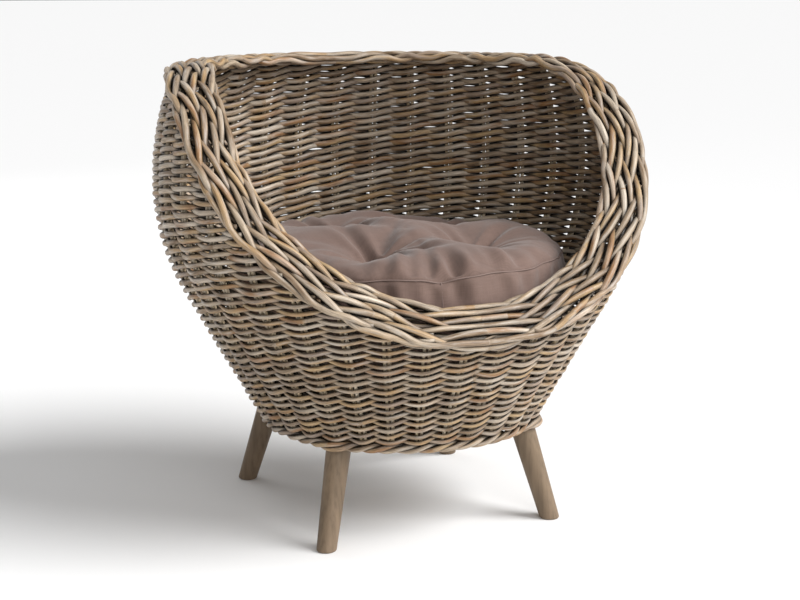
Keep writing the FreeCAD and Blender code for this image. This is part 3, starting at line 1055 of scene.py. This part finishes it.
def cotton(name, colour, line_scale):
    """Plain cotton canvas: warp and weft threads, slightly uneven, with a soft nap."""
    n = Nodes(name)
    place = n.attribute("cloth_place").outputs["Vector"]
    cloudy = n.noise(place, 14.0, 3.0).outputs["Fac"]
    slub = n.noise(n.mapping(place, (60.0, 900.0, 1.0)), 1.0, 3.0).outputs["Fac"]
    slub_across = n.noise(n.mapping(place, (900.0, 60.0, 1.0)), 1.0, 3.0).outputs["Fac"]
    threads = []
    for direction in ("X", "Y"):
        wave = n.new("ShaderNodeTexWave", wave_type="BANDS", bands_direction=direction)
        wave.inputs["Scale"].default_value = line_scale
        wave.inputs["Distortion"].default_value = 0.6
        wave.inputs["Detail"].default_value = 1.0
        n.link(place, wave.inputs["Vector"])
        threads.append(wave.outputs["Fac"])
    weave = n.maths("MULTIPLY", threads[0], threads[1])
    colour = n.tint(colour, cloudy, [(0.3, 0.90), (0.7, 1.08)])
    colour = n.tint(colour, slub, [(0.30, 0.90), (0.70, 1.08)])
    colour = n.tint(colour, slub_across, [(0.30, 0.92), (0.70, 1.06)])
    colour = n.tint(colour, weave, [(0.0, 0.86), (0.6, 1.06)])
    n.link(colour, n.shader.inputs["Base Color"])
    n.link(n.ramp(weave, [(0.0, 0.95), (1.0, 0.84)]), n.shader.inputs["Roughness"])
    n.shader.inputs["Specular IOR Level"].default_value = 0.2
    n.shader.inputs["Sheen Weight"].default_value = 0.25
    n.shader.inputs["Sheen Roughness"].default_value = 0.5
    n.bump(weave, 0.35, 0.0003)
    return n.material


def plain_look(name, colour, roughness, metallic=0.0, scale=400.0):
    """One colour with fine specks of lighter and darker, for wood, metal and thread."""
    n = Nodes(name)
    place = n.new("ShaderNodeTexCoord").outputs["Object"]
    speck = n.noise(place, scale, 4.0).outputs["Fac"]
    darker = tuple(0.75 * part for part in colour)
    lighter = tuple(min(1.0, 1.2 * part) for part in colour)
    shade = n.ramp(speck, [(0.3, darker), (0.7, lighter)])
    n.link(shade, n.shader.inputs["Base Color"])
    n.link(n.ramp(speck, [(0.3, roughness + 0.1), (0.7, roughness - 0.05)]), n.shader.inputs["Roughness"])
    n.shader.inputs["Metallic"].default_value = metallic
    n.bump(speck, 0.15, 0.0003)
    return n.material


def paint(node, material):
    """Gives a CAD part its better material."""
    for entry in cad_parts[node].material_slots:
        entry.material = material


# ---------------------------------------------------------------- build

# The last number sets how dark the painted crevice shade gets: near black on the woven strands, faint on
# the stakes.
rattan_look = rattan("rattan_look", KUBU, 0.40, 0.45, 0.02)
stake_look = rattan("stake_look", STAKE_CANE_AND_HIGHLIGHT, 0.36, 0.25, 0.80)

for band in make_wall(rattan_look):
    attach(band, "basket")
    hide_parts("outer_weave", "inner_weave")
stakes = make_stakes(stake_look)
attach(stakes, "basket")
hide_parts("upright_stakes")
rim = make_rim(rattan_look)
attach(rim, "basket")
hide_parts("rim_braid")
border = make_foot_border(rattan_look)
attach(border, "basket")
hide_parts("foot_border")
mat = make_base_mat(rattan_look)
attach(mat, "basket")
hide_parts("woven_base")

cotton_look = cotton("cotton_look", (0.182, 0.121, 0.100), 300.0)
thread_look = plain_look("thread_look", (0.20, 0.14, 0.12), 0.85, scale=2500.0)
cover = make_cushion(cotton_look)
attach(cover, "cushion")
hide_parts("cushion_top_panel", "cushion_side_band", "cushion_bottom_panel", "cushion_filling")
seam = make_seam(thread_look, cover)
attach(seam, "cushion")
stitches = make_stitches(thread_look, cover)
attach(stitches, "cushion")
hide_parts("cushion_tuft_ties")

wood = leg_wood()
plywood = plain_look("plywood_look", (0.52, 0.38, 0.24), 0.6, scale=90.0)
block = plain_look("block_look", (0.44, 0.30, 0.18), 0.65, scale=120.0)
zinc = plain_look("zinc_look", (0.62, 0.63, 0.64), 0.35, 1.0, 700.0)
brass = plain_look("brass_look", (0.72, 0.53, 0.22), 0.35, 1.0, 700.0)
for corner in CORNERS:
    paint("leg_" + corner, wood)
    paint("leg_block_" + corner, block)
paint("seat_board", plywood)
for node in ("block_screws", "board_nails", "hanger_bolts"):
    paint(node, zinc)
paint("threaded_inserts", brass)

# ---------------------------------------------------------------- stage, light and camera

aim = (0, 0, 0.3)


def make_floor():
    """A plain pale floor, wide enough to reach the horizon."""
    half = 60.0
    corners = [(-half, -half, 0), (half, -half, 0), (half, half, 0), (-half, half, 0)]
    mesh = bpy.data.meshes.new("floor")
    mesh.from_pydata(corners, [], [(0, 1, 2, 3)])
    floor = show(bpy.data.objects.new("floor", mesh))
    n = Nodes("floor_look")
    n.shader.inputs["Base Color"].default_value = (0.90, 0.90, 0.90, 1)
    n.shader.inputs["Roughness"].default_value = 0.8
    mesh.materials.append(n.material)


def add_lamp(name, kind, place, power):
    """A lamp turned to the basket. Returns its light."""
    light = bpy.data.lights.new(name, kind)
    light.energy = power
    lamp = show(bpy.data.objects.new(name, light))
    lamp.location = place
    lamp.rotation_euler = (Vector(aim) - Vector(place)).to_track_quat("-Z", "Y").to_euler()
    return light


make_floor()
key = add_lamp("key_light", "SUN", (1.35, -1.05, 1.75), 3.9)
key.angle = math.radians(40.0)
fill = add_lamp("fill_light", "AREA", (-0.3, -2.5, 1.6), 24)
fill.size = 1.6
rear = add_lamp("rear_light", "AREA", (-0.9, 2.4, 1.6), 12)
rear.size = 1.8

world = bpy.data.worlds.new("studio")
bpy.context.scene.world = world
world.use_nodes = True
world.node_tree.nodes["Background"].inputs["Color"].default_value = (1, 1, 1, 1)
world.node_tree.nodes["Background"].inputs["Strength"].default_value = 0.30
bpy.context.scene.view_settings.view_transform = "Standard"

camera_turn = math.radians(-23.0)
camera_distance = 1.8
camera_height = 0.605
camera_pitch = math.radians(11.41)
camera_heading = math.radians(-23.28)
camera = show(bpy.data.objects.new("camera", bpy.data.cameras.new("camera")))
camera.location = (math.sin(camera_turn) * camera_distance,
                   -math.cos(camera_turn) * camera_distance,
                   camera_height)
looking = Vector((-math.sin(camera_heading) * math.cos(camera_pitch),
                  math.cos(camera_heading) * math.cos(camera_pitch),
                  -math.sin(camera_pitch)))
camera.rotation_euler = looking.to_track_quat("-Z", "Y").to_euler()
camera.data.sensor_width = 36.0
camera.data.lens = 70.38
bpy.context.scene.camera = camera
